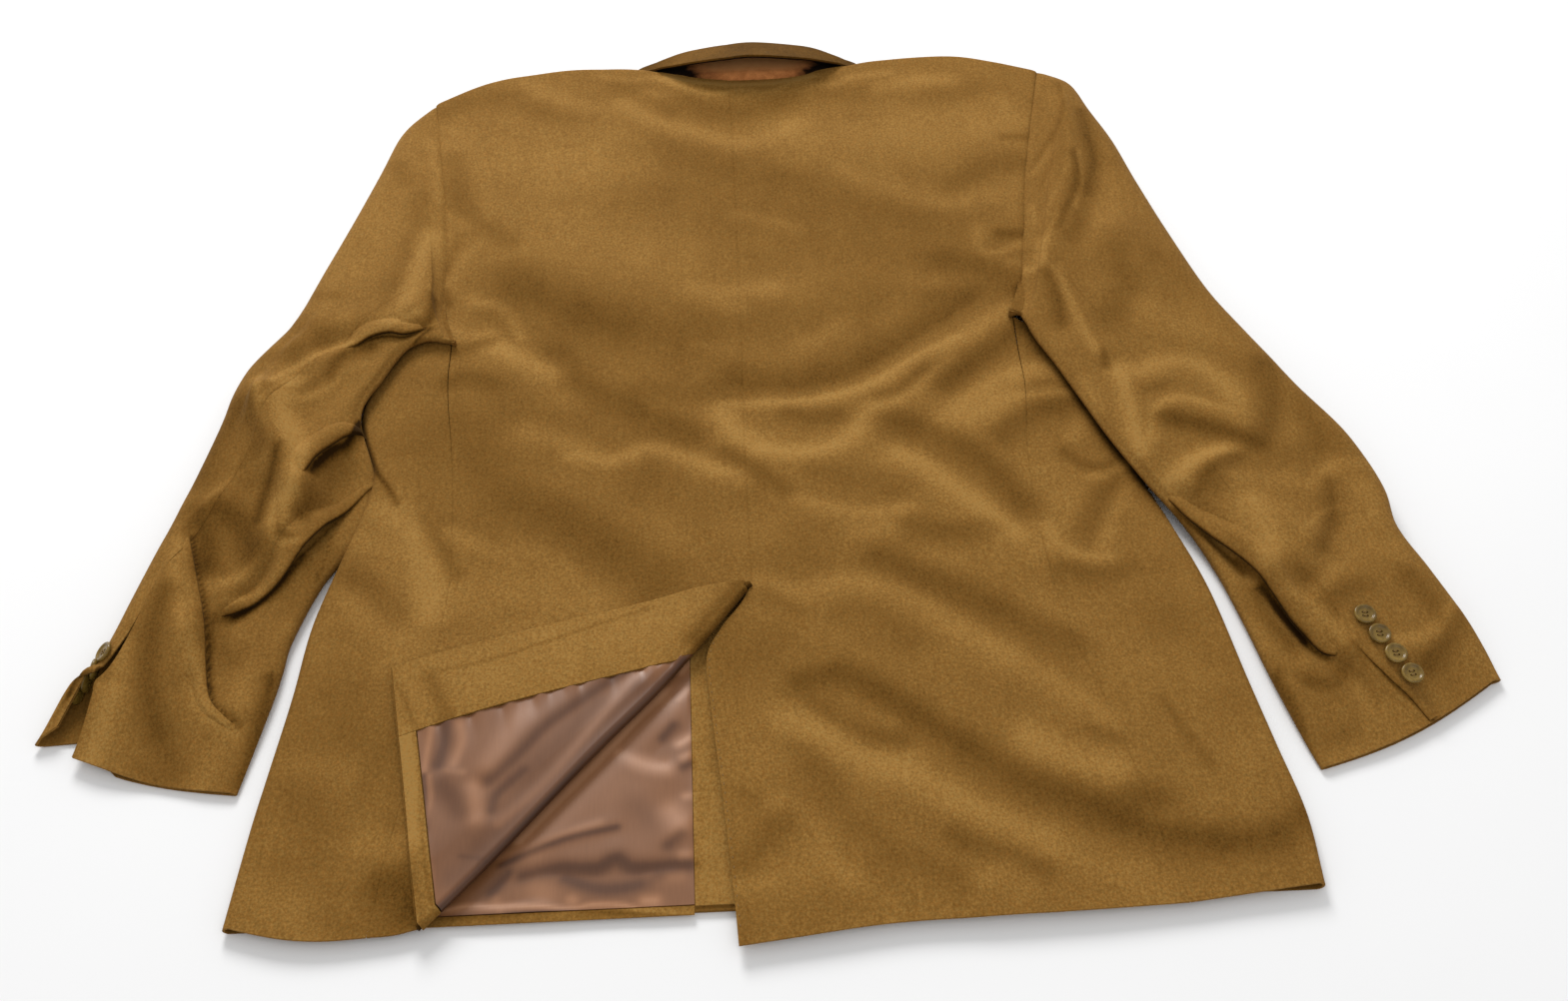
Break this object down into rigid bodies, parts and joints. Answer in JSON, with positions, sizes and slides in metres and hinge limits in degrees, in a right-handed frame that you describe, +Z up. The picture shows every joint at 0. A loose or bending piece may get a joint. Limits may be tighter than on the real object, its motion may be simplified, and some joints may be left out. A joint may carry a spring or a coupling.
{
  "type": "suede jacket",
  "caption": "Tan suede blazer lying face down, sleeves at its sides, with the left corner of its back vent folded open to show the satin lining.",
  "frame": {"origin": "centre of the bounding box at the surface that the jacket lies on", "axes": "+X towards the wearer's right sleeve, +Y from the hem to the collar, +Z up from the surface; the jacket's back faces +Z"},
  "size_m": [0.951, 0.843, 0.0606],
  "materials": {
    "suede": "napped suede, matte with a soft sheen across the folds",
    "suede_side": "napped suede, matte with a soft sheen across the folds",
    "melton": "dense matte felted wool",
    "satin": "smooth satin with a bright sheen",
    "button_resin": "polished horn-coloured resin"
  },
  "bodies": {
    "root": {"back_left": "suede", "back_right": "suede", "cuff_button_left_1": "button_resin", "cuff_button_left_2": "button_resin", "cuff_button_left_3": "button_resin", "cuff_button_left_4": "button_resin", "cuff_button_right_1": "button_resin", "cuff_button_right_2": "button_resin", "cuff_button_right_3": "button_resin", "cuff_button_right_4": "button_resin", "front_facing": "suede", "front_hem_facing": "suede_side", "front_left": "suede_side", "front_lining": "satin", "front_right": "suede_side", "side_left": "suede_side", "side_right": "suede_side", "sleeve_left_top": "suede", "sleeve_left_under": "suede_side", "sleeve_right_top": "suede", "sleeve_right_under": "suede_side", "top_collar": "suede", "undercollar": "melton", "vent_facing": "suede", "vent_hem_facing": "suede_side", "vent_lining": "satin"}
  },
  "joints": []
}
